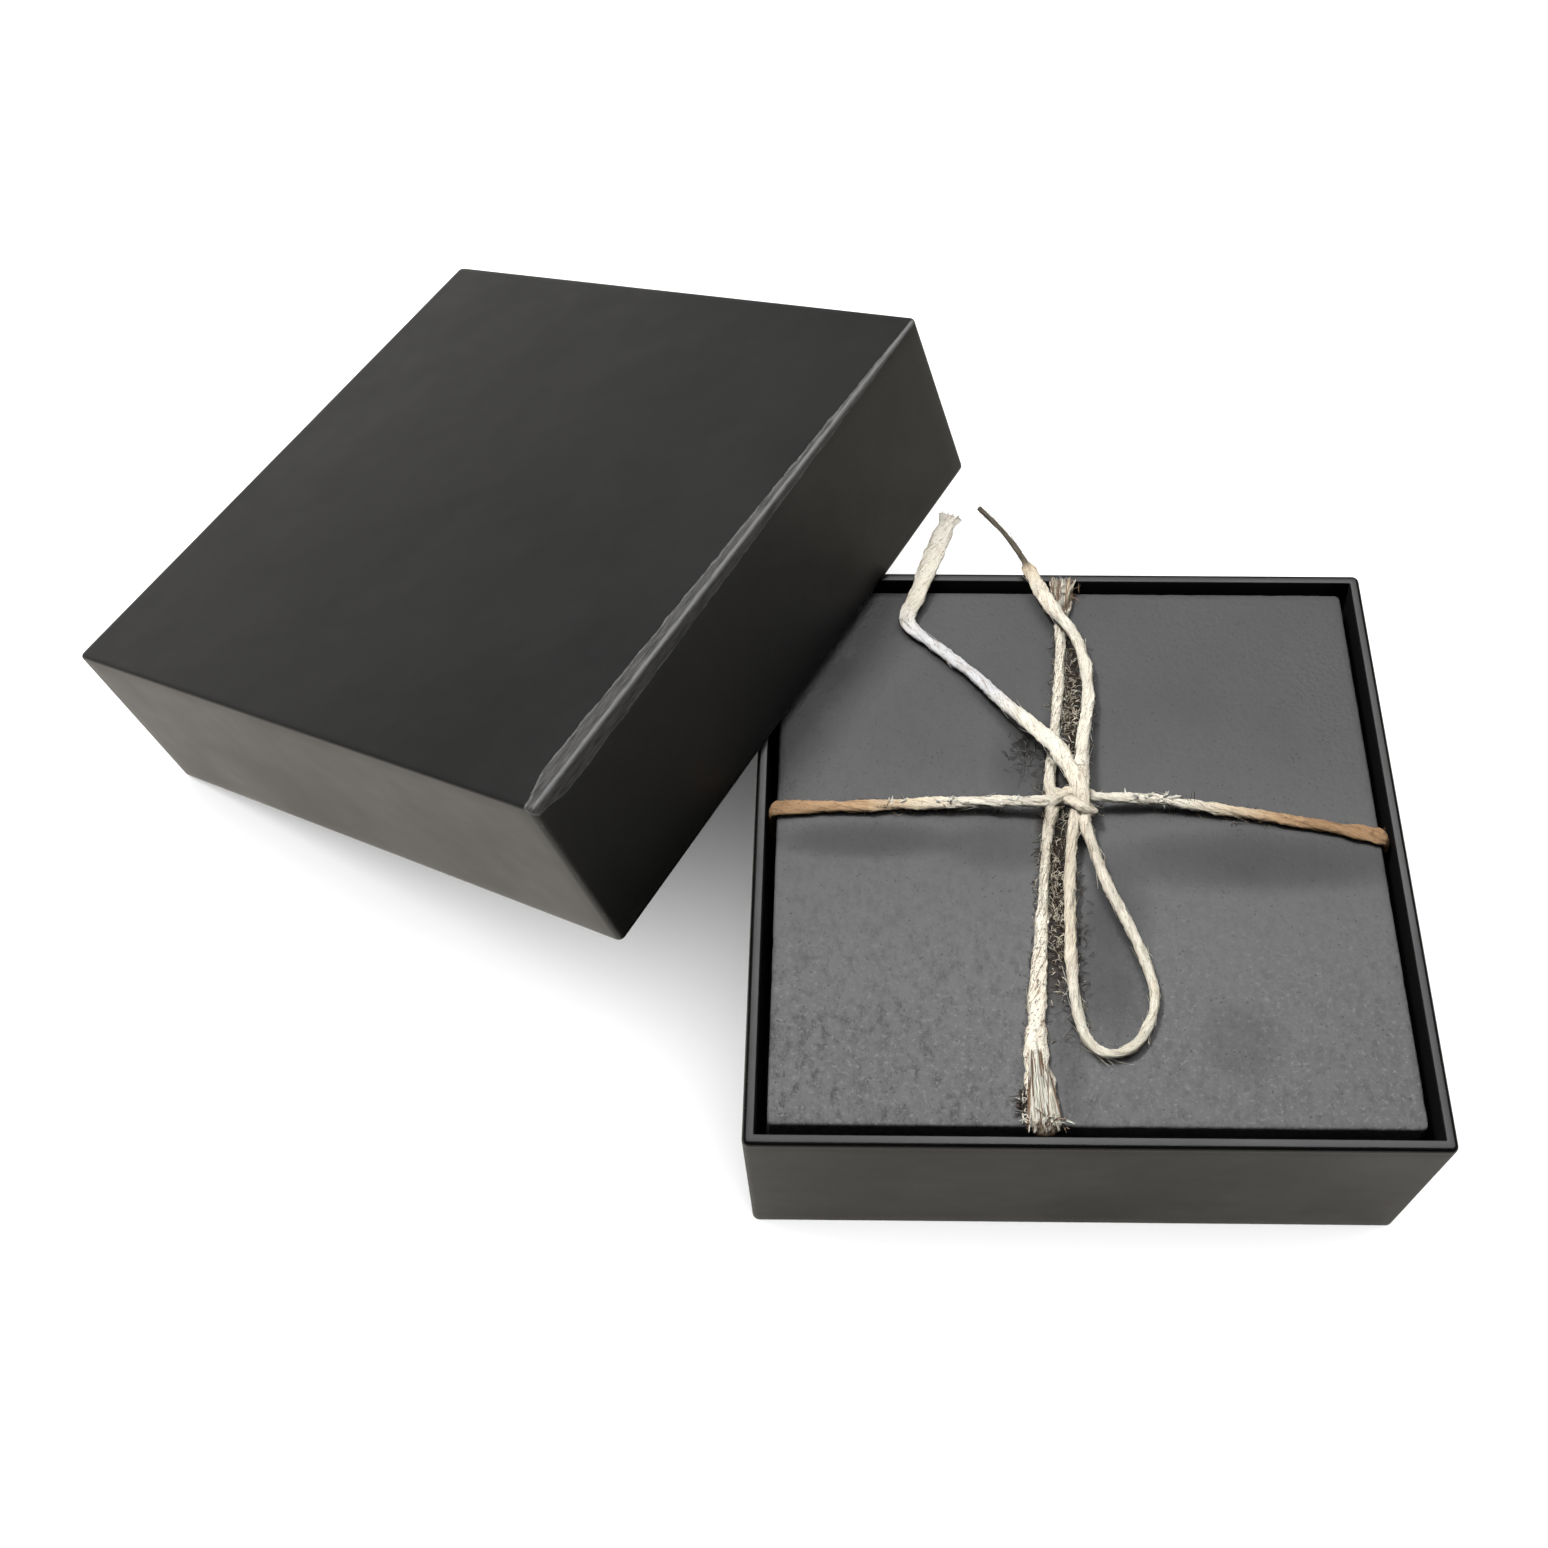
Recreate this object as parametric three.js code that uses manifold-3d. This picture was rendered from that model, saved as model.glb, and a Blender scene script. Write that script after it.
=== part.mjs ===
// A rigid gift box in two parts, open, with a twine-tied stack of square slabs in its tray.
// Millimetres, +Z up. The origin is the centre of the tray's underside, and +Y points to its back.
// The lid leans on the tray: one lower edge stands on the floor, and the opposite wall lies across
// the tray's left and back rims.
import * as THREE from "three";
import { mergeVertices } from "three/addons/utils/BufferGeometryUtils.js";
import Module from "manifold-3d";

const wasm = await Module();
wasm.setup();

// Box sizes
const TRAY_SIDE = 110;
const TRAY_HEIGHT = 39;
const LID_SIDE = 117;
const LID_HEIGHT = 35;
const BOARD = 1.2;
const PAPER = 0.2;
const OUTER_GAP = 0.25;
const INNER_GAP = 0.05;
const TURN_IN = 15;
const CORNER_RADIUS = 1.2;
const FOLD_RADIUS = 0.3;
const FOLD_SLIT = 0.15;
const SLIT_LENGTH = 8;
const STAY_WIDTH = 14;
const STAY_PAPER = 0.12;
const STAY_MARGIN = 2;

// How the lid leans
const LID_TURN = THREE.MathUtils.degToRad(-29.88);
const LID_EDGE = new THREE.Vector3(-141.7, 83.9, 0);
const REST_GAP = 0.3;

// The stack and its twine
const SLAB_COUNT = 6;
const SLAB_SIDE = 102.6;
const SLAB_THICKNESS = 5.55;
const SLAB_PITCH = 5.6;
const SLAB_BEVEL = 0.5;
const TWINE = 1.6;
const STRAND_THICKNESS = 1.2;
const STRAND_GAP = 0.15;
const STRAND_BEND = 1.2;
const UNDER_GAP = 0.1;
const TWINE_STEP = 3.4;
const KNOT_LENGTH = 11;
const KNOT_WIDTH = 7.2;
const KNOT_HEIGHT = 5;
const KNOT_ROUNDING = 1.2;

// Worked out from those
const WALL = PAPER + OUTER_GAP + BOARD + INNER_GAP + PAPER;
const BOARD_INSET = PAPER + OUTER_GAP;
const FLOOR = PAPER + INNER_GAP + BOARD + INNER_GAP + PAPER;
const LID_LEAN = Math.asin((TRAY_HEIGHT + REST_GAP) / (LID_SIDE - WALL));
const UNDER_ACROSS = FLOOR + UNDER_GAP + STRAND_THICKNESS / 2;
const UNDER_LENGTHWISE = UNDER_ACROSS + STRAND_THICKNESS + UNDER_GAP;
const STACK_BOTTOM = UNDER_LENGTHWISE + STRAND_THICKNESS / 2 + UNDER_GAP;
const STACK_TOP = STACK_BOTTOM + (SLAB_COUNT - 1) * SLAB_PITCH + SLAB_THICKNESS;
const STRAND_TOP = STACK_TOP + STRAND_GAP + STRAND_THICKNESS / 2;
const STRAND_SIDE = SLAB_SIDE / 2 + STRAND_GAP + STRAND_THICKNESS / 2;

const board = new THREE.MeshStandardMaterial({ color: 0x9b958a, roughness: 0.9 });
const stay = new THREE.MeshStandardMaterial({ color: 0xb79c74, roughness: 0.8 });
const wrap = new THREE.MeshStandardMaterial({ color: 0x2b2a28, roughness: 0.55 });
const lining = new THREE.MeshStandardMaterial({ color: 0x1f1e1d, roughness: 0.7 });
const slate = new THREE.MeshStandardMaterial({ color: 0x5b5b5a, roughness: 0.75 });
const jute = new THREE.MeshStandardMaterial({ color: 0xd8c9a8, roughness: 0.95 });

// Solids: closed geometry to manifold and back

function toSolid(geometry) {
  const bare = geometry.clone();
  bare.deleteAttribute("normal");
  bare.deleteAttribute("uv");
  const merged = mergeVertices(bare, 1e-5);
  return new wasm.Manifold(new wasm.Mesh({
    numProp: 3,
    vertProperties: new Float32Array(merged.attributes.position.array),
    triVerts: new Uint32Array(merged.index.array),
  }));
}

function toGeometry(solid) {
  const mesh = solid.getMesh();
  const geometry = new THREE.BufferGeometry();
  geometry.setAttribute("position", new THREE.BufferAttribute(mesh.vertProperties, 3));
  geometry.setIndex(new THREE.BufferAttribute(mesh.triVerts, 1));
  geometry.computeVertexNormals();
  return geometry;
}

function piece(name, geometry, material) {
  const mesh = new THREE.Mesh(geometry, material);
  mesh.name = name;
  return mesh;
}

function square(side, radius) {
  const half = side / 2 - radius;
  const shape = new THREE.Shape();
  shape.absarc(half, half, radius, 0, Math.PI / 2);
  shape.absarc(-half, half, radius, Math.PI / 2, Math.PI);
  shape.absarc(-half, -half, radius, Math.PI, Math.PI * 1.5);
  shape.absarc(half, -half, radius, Math.PI * 1.5, Math.PI * 2);
  shape.closePath();
  return shape;
}

// The box of one shell, drawn in by inset on every side, between two heights
function prism(side, inset, low, high) {
  const radius = Math.max(CORNER_RADIUS - inset, FOLD_RADIUS);
  const options = { depth: high - low, bevelEnabled: false, curveSegments: 2 };
  const geometry = new THREE.ExtrudeGeometry(square(side - 2 * inset, radius), options);
  geometry.translate(0, 0, low);
  return toSolid(geometry);
}

// One half of the box, standing on its closed side: board, stays, wrap and lining

function boardTray(side, height) {
  const low = PAPER + INNER_GAP;
  const high = height - PAPER - INNER_GAP;
  let tray = prism(side, BOARD_INSET, low, high);
  tray = tray.subtract(prism(side, BOARD_INSET + BOARD, low + BOARD, height));
  for (let corner = 0; corner < 4; corner++) {
    const slit = new THREE.BoxGeometry(SLIT_LENGTH, FOLD_SLIT, height);
    slit.translate(side / Math.SQRT2, 0, height / 2 + low + BOARD);
    slit.rotateZ(Math.PI / 4 + (corner * Math.PI) / 2);
    tray = tray.subtract(toSolid(slit));
  }
  return toGeometry(tray);
}

function cornerStay(side, height, corner) {
  const inset = BOARD_INSET - STAY_PAPER - INNER_GAP;
  const low = STAY_MARGIN;
  const high = height - STAY_MARGIN;
  const ring = prism(side, inset, low, high).subtract(prism(side, inset + STAY_PAPER, 0, height));
  const reach = new THREE.BoxGeometry(STAY_WIDTH, STAY_WIDTH, height);
  reach.translate((side - STAY_WIDTH) / 2, (side - STAY_WIDTH) / 2, height / 2);
  reach.rotateZ((corner * Math.PI) / 2);
  return toGeometry(ring.intersect(toSolid(reach)));
}

function paperWrap(side, height) {
  const fold = height - TURN_IN;
  const boardRoom = prism(side, PAPER, fold - 1, height - PAPER)
    .subtract(prism(side, WALL - PAPER, fold - 2, height));
  return toGeometry(prism(side, 0, 0, height)
    .subtract(prism(side, PAPER, PAPER, fold))
    .subtract(prism(side, WALL, PAPER, height + 1))
    .subtract(boardRoom));
}

function innerLining(side, height) {
  const high = height - TURN_IN - REST_GAP;
  return toGeometry(prism(side, WALL - PAPER, FLOOR - PAPER, high)
    .subtract(prism(side, WALL, FLOOR, height)));
}

function halfBox(name, side, height) {
  const group = new THREE.Group();
  group.add(piece(`${name}_board`, boardTray(side, height), board));
  for (let corner = 0; corner < 4; corner++) {
    group.add(piece(`${name}_corner_stay_${corner + 1}`, cornerStay(side, height, corner), stay));
  }
  group.add(piece(`${name}_wrap`, paperWrap(side, height), wrap));
  group.add(piece(`${name}_lining`, innerLining(side, height), lining));
  return group;
}

// The lid lies upside down against the tray: turned over, leaned about its grounded edge, turned
function leaningLid() {
  const lid = halfBox("lid", LID_SIDE, LID_HEIGHT);
  lid.rotation.x = Math.PI;
  lid.position.set(LID_SIDE / 2, 0, LID_HEIGHT);
  const lean = new THREE.Group();
  lean.rotation.y = -LID_LEAN;
  lean.add(lid);
  const turn = new THREE.Group();
  turn.rotation.z = LID_TURN;
  turn.position.copy(LID_EDGE);
  turn.add(lean);
  return turn;
}

function slabStack() {
  const group = new THREE.Group();
  const options = {
    depth: SLAB_THICKNESS - 2 * SLAB_BEVEL,
    bevelSize: SLAB_BEVEL,
    bevelThickness: SLAB_BEVEL,
    bevelSegments: 1,
    curveSegments: 2,
  };
  for (let layer = 0; layer < SLAB_COUNT; layer++) {
    const outline = square(SLAB_SIDE - 2 * SLAB_BEVEL, CORNER_RADIUS);
    const slab = piece(`slab_${layer + 1}`, new THREE.ExtrudeGeometry(outline, options), slate);
    slab.position.z = STACK_BOTTOM + layer * SLAB_PITCH + SLAB_BEVEL;
    group.add(slab);
  }
  return group;
}

// Twine

function section(width, thickness) {
  const corners = [];
  for (let i = 0; i < 8; i++) {
    const angle = ((i + 0.5) * Math.PI) / 4;
    const reach = 0.5 / Math.cos(Math.PI / 8);
    corners.push(new THREE.Vector2(
      thickness * reach * Math.cos(angle),
      width * reach * Math.sin(angle),
    ));
  }
  return new THREE.Shape(corners);
}

// A flattened strand that passes through its points in straight runs, one section at each point.
// Its flat side faces the stack: sideways is the direction of its width.
class StrandRoute extends THREE.Curve {
  constructor(points, sideways) {
    super();
    this.points = points;
    this.sideways = sideways;
  }

  getPoint(t) {
    const last = this.points.length - 1;
    const start = Math.min(Math.floor(t * last), last - 1);
    return this.points[start].clone().lerp(this.points[start + 1], t * last - start);
  }

  getUtoTmapping(u) {
    return u;
  }

  computeFrenetFrames(steps) {
    const frames = { tangents: [], normals: [], binormals: [] };
    for (let i = 0; i <= steps; i++) {
      const tangent = this.getTangent(i / steps);
      const along = tangent.clone().multiplyScalar(tangent.dot(this.sideways));
      const binormal = this.sideways.clone().sub(along).normalize();
      frames.tangents.push(tangent);
      frames.binormals.push(binormal);
      frames.normals.push(binormal.clone().cross(tangent));
    }
    return frames;
  }
}

// Replaces each sharp corner of a run of points by a short bend
function bendCorners(points) {
  const bent = [points[0]];
  for (let i = 1; i < points.length - 1; i++) {
    const before = points[i - 1].clone().sub(points[i]).normalize();
    const after = points[i + 1].clone().sub(points[i]).normalize();
    if (before.dot(after) < -0.5) {
      bent.push(points[i]);
      continue;
    }
    const start = points[i].clone().addScaledVector(before, STRAND_BEND);
    const end = points[i].clone().addScaledVector(after, STRAND_BEND);
    bent.push(...new THREE.QuadraticBezierCurve3(start, points[i], end).getPoints(3));
  }
  bent.push(points.at(-1));
  return bent;
}

function vectors(list) {
  return list.map(([x, y, z]) => new THREE.Vector3(x, y, z));
}

function strand(name, list, sideways) {
  const route = new StrandRoute(bendCorners(vectors(list)), sideways);
  const options = { steps: route.points.length - 1, extrudePath: route };
  const shape = section(TWINE, STRAND_THICKNESS);
  return piece(name, new THREE.ExtrudeGeometry(shape, options), jute);
}

function looseTwine(name, list) {
  const route = new THREE.CatmullRomCurve3(vectors(list));
  const steps = Math.round(route.getLength() / TWINE_STEP);
  const options = { steps, extrudePath: route };
  return piece(name, new THREE.ExtrudeGeometry(section(TWINE, TWINE), options), jute);
}

// From the knot to the left, round the stack, and back to the knot from the right
const ACROSS_ROUTE = [
  [-6.1, 5.2, 40.9],
  [-13.2, 5.5, 40.2],
  [-25.1, 5.6, 39.3],
  [-38.7, 5.1, 38.8],
  [-STRAND_SIDE, 4.7, STRAND_TOP],
  [-STRAND_SIDE, 4.7, UNDER_ACROSS],
  [STRAND_SIDE, -0.2, UNDER_ACROSS],
  [STRAND_SIDE, -0.2, STRAND_TOP],
  [42.7, 1.8, 38.8],
  [32.7, 3.6, 38.8],
  [20.9, 5.4, 39.3],
  [12.4, 6.3, 40.0],
  [2.1, 6.2, 40.9],
];

// From the knot to the front, round the stack, and back to the knot from behind
const LENGTHWISE_ROUTE = [
  [-5.2, 0.5, STRAND_TOP],
  [-6.2, -7.8, STRAND_TOP],
  [-7.3, -19.6, STRAND_TOP],
  [-8.5, -30.7, STRAND_TOP],
  [-9.1, -39.4, STRAND_TOP],
  [-8.1, -STRAND_SIDE, STRAND_TOP],
  [-8.1, -STRAND_SIDE, UNDER_LENGTHWISE],
  [0.6, STRAND_SIDE, UNDER_LENGTHWISE],
  [0.6, STRAND_SIDE, STRAND_TOP],
  [-0.7, 41.9, STRAND_TOP],
  [-1.9, 28.6, STRAND_TOP],
  [-4.1, 12.5, STRAND_TOP],
];

const LOOP_ROUTE = [
  [-1.1, 0.8, 40.8],
  [-1.7, -4.3, 40.4],
  [-2.3, -11.7, 39.9],
  [-2.6, -22.0, 39.4],
  [-2.5, -28.8, 39.2],
  [-1.6, -35.3, 39.1],
  [0.2, -38.6, 39.1],
  [3.0, -39.6, 39.1],
  [6.2, -38.4, 39.1],
  [8.8, -35.2, 39.1],
  [10.3, -30.8, 39.2],
  [10.0, -26.5, 39.3],
  [8.3, -20.7, 39.5],
  [5.8, -14.4, 39.8],
  [3.6, -9.0, 40.1],
  [2.1, -3.6, 40.5],
  [0.9, 0.8, 40.8],
];

const LEFT_TAIL_ROUTE = [
  [-2.0, 12.5, 42.2],
  [-3.4, 15.8, 41.8],
  [-5.9, 18.8, 41.3],
  [-8.5, 21.9, 40.8],
  [-11.3, 25.0, 40.3],
  [-17.0, 31.9, 39.6],
  [-22.0, 36.9, 39.2],
  [-26.3, 40.7, 39.2],
  [-28.4, 43.2, 39.3],
  [-28.2, 46.0, 39.5],
  [-26.9, 48.6, 39.8],
  [-25.4, 53.0, 40.2],
  [-23.5, 58.3, 40.5],
  [-21.8, 62.6, 40.8],
  [-20.2, 66.7, 41.0],
];

const RIGHT_TAIL_ROUTE = [
  [0.7, 11.3, 42.1],
  [1.1, 14.0, 41.9],
  [1.7, 18.5, 41.3],
  [2.7, 23.8, 40.6],
  [3.2, 29.5, 40.3],
  [2.6, 36.1, 40.4],
  [1.0, 40.8, 40.6],
  [-1.4, 44.4, 40.7],
  [-3.5, 48.3, 40.6],
  [-5.2, 52.6, 40.5],
  [-7.2, 57.4, 40.6],
  [-9.9, 62.1, 40.9],
  [-12.3, 65.4, 41.0],
  [-14.9, 68.5, 41.2],
];

// The knot's outer shape: a pebble just above the stack
function knot() {
  const outline = new THREE.Shape();
  const halfWidth = KNOT_WIDTH / 2 - KNOT_ROUNDING;
  const halfLength = KNOT_LENGTH / 2 - KNOT_ROUNDING;
  outline.absellipse(0, 0, halfWidth, halfLength, 0, Math.PI * 2);
  const geometry = new THREE.ExtrudeGeometry(outline, {
    depth: KNOT_HEIGHT - 2 * KNOT_ROUNDING,
    bevelSize: KNOT_ROUNDING,
    bevelThickness: KNOT_ROUNDING,
    bevelSegments: 2,
    curveSegments: 8,
  });
  const lump = piece("twine_knot", geometry, jute);
  lump.position.set(-2, 6.5, STACK_TOP + REST_GAP + KNOT_ROUNDING);
  return lump;
}

function twine() {
  const group = new THREE.Group();
  group.add(strand("twine_across", ACROSS_ROUTE, new THREE.Vector3(0, 1, 0)));
  group.add(strand("twine_lengthwise", LENGTHWISE_ROUTE, new THREE.Vector3(-1, 0, 0)));
  group.add(knot());
  group.add(looseTwine("twine_loop", LOOP_ROUTE));
  group.add(looseTwine("twine_tail_left", LEFT_TAIL_ROUTE));
  group.add(looseTwine("twine_tail_right", RIGHT_TAIL_ROUTE));
  return group;
}

const giftBox = new THREE.Group();
giftBox.add(halfBox("base", TRAY_SIDE, TRAY_HEIGHT));
giftBox.add(slabStack());
giftBox.add(twine());
giftBox.add(leaningLid());

export default giftBox;
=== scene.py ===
import math

import bmesh
import bpy
import numpy as np
from mathutils import Matrix, Vector, noise


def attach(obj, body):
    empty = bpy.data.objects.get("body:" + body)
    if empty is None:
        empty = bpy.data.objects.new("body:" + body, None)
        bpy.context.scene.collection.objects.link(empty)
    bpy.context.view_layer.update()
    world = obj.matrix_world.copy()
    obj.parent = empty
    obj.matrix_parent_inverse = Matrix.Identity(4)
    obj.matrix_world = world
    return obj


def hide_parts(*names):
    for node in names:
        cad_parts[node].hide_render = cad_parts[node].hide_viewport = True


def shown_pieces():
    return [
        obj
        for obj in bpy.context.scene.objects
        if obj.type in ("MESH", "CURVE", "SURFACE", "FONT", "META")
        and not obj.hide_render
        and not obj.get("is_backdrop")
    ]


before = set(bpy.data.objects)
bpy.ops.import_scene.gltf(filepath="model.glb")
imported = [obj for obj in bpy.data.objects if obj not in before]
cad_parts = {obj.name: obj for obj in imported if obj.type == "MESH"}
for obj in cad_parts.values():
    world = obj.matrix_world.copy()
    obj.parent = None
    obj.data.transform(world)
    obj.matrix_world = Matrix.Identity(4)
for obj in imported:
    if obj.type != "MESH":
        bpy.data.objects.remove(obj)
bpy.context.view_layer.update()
MM = 0.001

# Sizes shared with the CAD source
TRAY_SIDE, TRAY_HEIGHT = 110, 39
LID_SIDE, LID_HEIGHT = 117, 35
PAPER = 0.2
WALL = 1.9
TURN_IN = 15
CORNER_RADIUS = 1.2
LID_TURN = math.radians(-29.88)
LID_LEAN = math.asin(39.3 / (LID_SIDE - WALL))
LID_EDGE = Vector((-141.7, 83.9, 0))
SLABS = 6
SLAB_SIDE = 102.6
SLAB_THICKNESS, SLAB_PITCH = 5.55, 5.6
STACK_BOTTOM, STACK_TOP = 4.4, 37.95
STRAND_TOP, STRAND_SIDE = 38.7, 52.05
UNDER_ACROSS, UNDER_LENGTHWISE = 2.4, 3.7
# Fibres that lie on the top slab, and how far from the middle it is clear of the tray's walls
FIBRE_REST = STACK_TOP + 0.06
CLEAR_REACH = 47


def shown(name, data):
    """A new object in the scene."""
    made = bpy.data.objects.new(name, data)
    bpy.context.scene.collection.objects.link(made)
    return made


# Camera


def make_camera():
    """The photographer's view: above and a little in front of the tray."""
    data = bpy.data.cameras.new("camera")
    data.sensor_width = 36
    data.lens = 40.562
    data.shift_x = -0.0411
    data.clip_start = 0.01
    camera = shown("camera", data)
    camera.location = Vector((-38.34, -142.69, 297.53)) * MM
    camera.rotation_euler = [math.radians(a) for a in (30.796, 0.2, 0.611)]
    bpy.context.scene.camera = camera


make_camera()


# Materials


class Nodes:
    """Short calls for the nodes of a shader tree."""

    def __init__(self, tree):
        self.tree = tree

    def node(self, kind, inputs=None, **settings):
        made = self.tree.nodes.new(kind)
        for key, value in settings.items():
            setattr(made, key, value)
        for key, value in (inputs or {}).items():
            self.put(made.inputs[key], value)
        return made

    def put(self, socket, value):
        if isinstance(value, bpy.types.NodeSocket):
            self.tree.links.new(value, socket)
        else:
            socket.default_value = value

    def remap(self, value, low, high, out_low=0.0, out_high=1.0):
        inputs = {"Value": value, "From Min": low, "From Max": high, "To Min": out_low, "To Max": out_high}
        made = self.node("ShaderNodeMapRange", inputs, interpolation_type="SMOOTHSTEP")
        return made.outputs["Result"]


class Shading(Nodes):
    """One procedural material."""

    def __init__(self, name, roughness, specular=0.5):
        self.material = bpy.data.materials.new(name)
        self.material.use_nodes = True
        super().__init__(self.material.node_tree)
        self.shader = self.tree.nodes["Principled BSDF"]
        self.set("Roughness", roughness)
        self.set("Specular IOR Level", specular)

    def set(self, name, value):
        self.put(self.shader.inputs[name], value)

    def place(self):
        return self.node("ShaderNodeTexCoord").outputs["Object"]

    def attribute(self, name):
        return self.node("ShaderNodeAttribute", attribute_name=name).outputs["Vector"]

    def stretch(self, vector, scale=(1, 1, 1), shift=(0, 0, 0)):
        inputs = {"Vector": vector, "Scale": scale, "Location": shift}
        return self.node("ShaderNodeMapping", inputs).outputs["Vector"]

    def noise(self, vector, scale, detail=3, roughness=0.55):
        inputs = {"Vector": vector, "Scale": scale, "Detail": detail, "Roughness": roughness}
        return self.node("ShaderNodeTexNoise", inputs).outputs["Fac"]

    def cells(self, vector, scale):
        return self.node("ShaderNodeTexVoronoi", {"Vector": vector, "Scale": scale}).outputs["Distance"]

    def math(self, operation, a, b=0.0, c=0.0, clamp=False):
        inputs = {0: a, 1: b, 2: c}
        made = self.node("ShaderNodeMath", inputs, operation=operation, use_clamp=clamp)
        return made.outputs[0]

    def plus(self, a, b):
        return self.math("ADD", a, b)

    def minus(self, a, b):
        return self.math("SUBTRACT", a, b)

    def times(self, a, b):
        return self.math("MULTIPLY", a, b)

    def split(self, vector):
        return self.node("ShaderNodeSeparateXYZ", {0: vector}).outputs

    def blend(self, factor, a, b, how="MIX"):
        made = self.node("ShaderNodeMix", data_type="RGBA", blend_type=how)
        for socket, value in zip((made.inputs[0], made.inputs[6], made.inputs[7]), (factor, a, b)):
            self.put(socket, value)
        return made.outputs[2]

    def relief(self, *layers):
        """Bump made of (height, depth in metres) layers, the first one lowest."""
        normal = None
        for height, depth in layers:
            made = self.node("ShaderNodeBump", {"Height": height, "Distance": depth})
            if normal is not None:
                self.put(made.inputs["Normal"], normal)
            normal = made.outputs["Normal"]
        self.set("Normal", normal)


def grey(value, warmth=0.0):
    """A grey of that brightness, tipped towards red by its warmth."""
    return (value * (1 + warmth), value, value * (1 - warmth), 1)


def scuff(m, shell, side):
    """Wear along the lid's most handled edge: a streaked band that widens to the front corner."""
    x, y, z = m.split(shell)
    from_edge = m.plus(m.minus(side / 2, x), z)
    along = m.math("ADD", m.math("DIVIDE", y, side), 0.5, clamp=True)
    band = m.math("MULTIPLY_ADD", m.math("POWER", along, 0.9), 3.3, 0.4)
    band = m.times(band, m.remap(along, 1.0, 0.93, 0.5, 1.0))
    ragged = m.noise(m.stretch(shell, (0.5, 0.14, 0.5)), 1.5, 5, 0.7)
    band = m.plus(band, m.math("MULTIPLY_ADD", ragged, 1.6, -0.8))
    inside = m.minus(band, from_edge)
    streak = m.noise(m.stretch(shell, (2.6, 0.22, 2.6)), 1.2, 4, 0.65)
    worn = m.times(m.remap(inside, -0.08, 0.2), m.remap(streak, 0.32, 0.68, 0.12, 0.62))
    border = m.times(m.remap(inside, -0.1, 0.08), m.remap(inside, 0.42, 0.12))
    fold = m.times(m.remap(from_edge, 0.75, 0.45), m.remap(from_edge, 0.05, 0.3))
    lines = m.plus(m.times(border, 0.55), m.times(fold, 0.85))
    return m.plus(worn, m.times(lines, m.remap(streak, 0.25, 0.6, 0.35, 1.0)))


def wrap_material(name, side, height, scuffed):
    """Black coated wrapping paper: satin, faintly fibrous, rubbed pale along its folds, with a painted
    dark line round the rim's outer edge.
    """
    m = Shading(name, 0.4)
    shell = m.attribute("shell")
    x, y, z = m.split(shell)
    cloud = m.noise(shell, 0.03, 3)
    smear = m.noise(m.stretch(shell, (0.12, 0.5, 0.3)), 0.9, 4, 0.6)
    fibre = m.noise(m.stretch(shell, (1.0, 3.2, 1.0)), 1.6, 4, 0.7)
    fleck = m.noise(shell, 3.4, 2, 0.5)
    tone = m.blend(m.remap(fibre, 0.3, 0.75), grey(0.0072), grey(0.011, 0.02))
    tone = m.blend(m.times(m.remap(fleck, 0.66, 0.78), 0.35), tone, grey(0.035, 0.04))
    outside_x = m.minus(side / 2, m.math("ABSOLUTE", x))
    outside_y = m.minus(side / 2, m.math("ABSOLUTE", y))
    from_corner = m.math("MAXIMUM", outside_x, outside_y)
    rubbed = m.remap(m.plus(from_corner, m.times(fibre, 1.4)), 1.35, 0.7)
    rubbed = m.times(rubbed, m.remap(smear, 0.42, 0.62, 0.05, 0.6))
    if scuffed:
        rubbed = m.math("MAXIMUM", rubbed, scuff(m, shell, side), clamp=True)
    tone = m.blend(rubbed, tone, grey(0.15, 0.02))
    # A darker, glossier line along the rim's rounded outer edge: painted shade for the dark band along the
    # turn of the fold.
    inset = m.math("MINIMUM", outside_x, outside_y)
    rim = m.times(m.remap(inset, 0.85, 0.6), m.remap(z, height - 1.3, height - 0.9))
    m.set("Base Color", m.blend(rim, tone, grey(0.0015)))
    gloss = m.plus(m.remap(cloud, 0.3, 0.7, 0.33, 0.42), m.times(smear, 0.06))
    gloss = m.math("MULTIPLY_ADD", rim, -0.16, gloss)
    m.set("Roughness", m.math("MULTIPLY_ADD", rubbed, 0.16, gloss))
    m.relief((cloud, 0.0004), (fibre, 0.00002), (fleck, 0.000012))
    return m.material


def lining_material():
    """Uncoated black paper inside the box, with fine flecks."""
    m = Shading("lining_paper", 0.62)
    fibre = m.noise(m.stretch(m.place(), (900, 900, 1600)), 1, 4, 0.7)
    cloud = m.noise(m.place(), 25, 2)
    tone = m.blend(m.remap(fibre, 0.35, 0.7), grey(0.012), grey(0.022, 0.05))
    m.set("Base Color", m.blend(m.times(cloud, 0.3), tone, grey(0.028, 0.05)))
    m.set("Roughness", m.remap(cloud, 0.3, 0.7, 0.55, 0.7))
    m.relief((fibre, 0.00004))
    return m.material


def greyboard_material():
    """Pressed recycled board with darker specks and layers along its cut edge."""
    m = Shading("greyboard", 0.9, 0.3)
    pulp = m.noise(m.place(), 700, 5, 0.7)
    layers = m.noise(m.stretch(m.place(), (120, 120, 4200)), 1, 3)
    specks = m.cells(m.place(), 900)
    tone = m.blend(m.remap(pulp, 0.3, 0.7), (0.27, 0.24, 0.2, 1), (0.4, 0.37, 0.32, 1))
    tone = m.blend(m.remap(specks, 0.14, 0.05, 0, 0.6), tone, (0.11, 0.1, 0.09, 1))
    m.set("Base Color", tone)
    m.relief((layers, 0.00005), (pulp, 0.00005))
    return m.material


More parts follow.
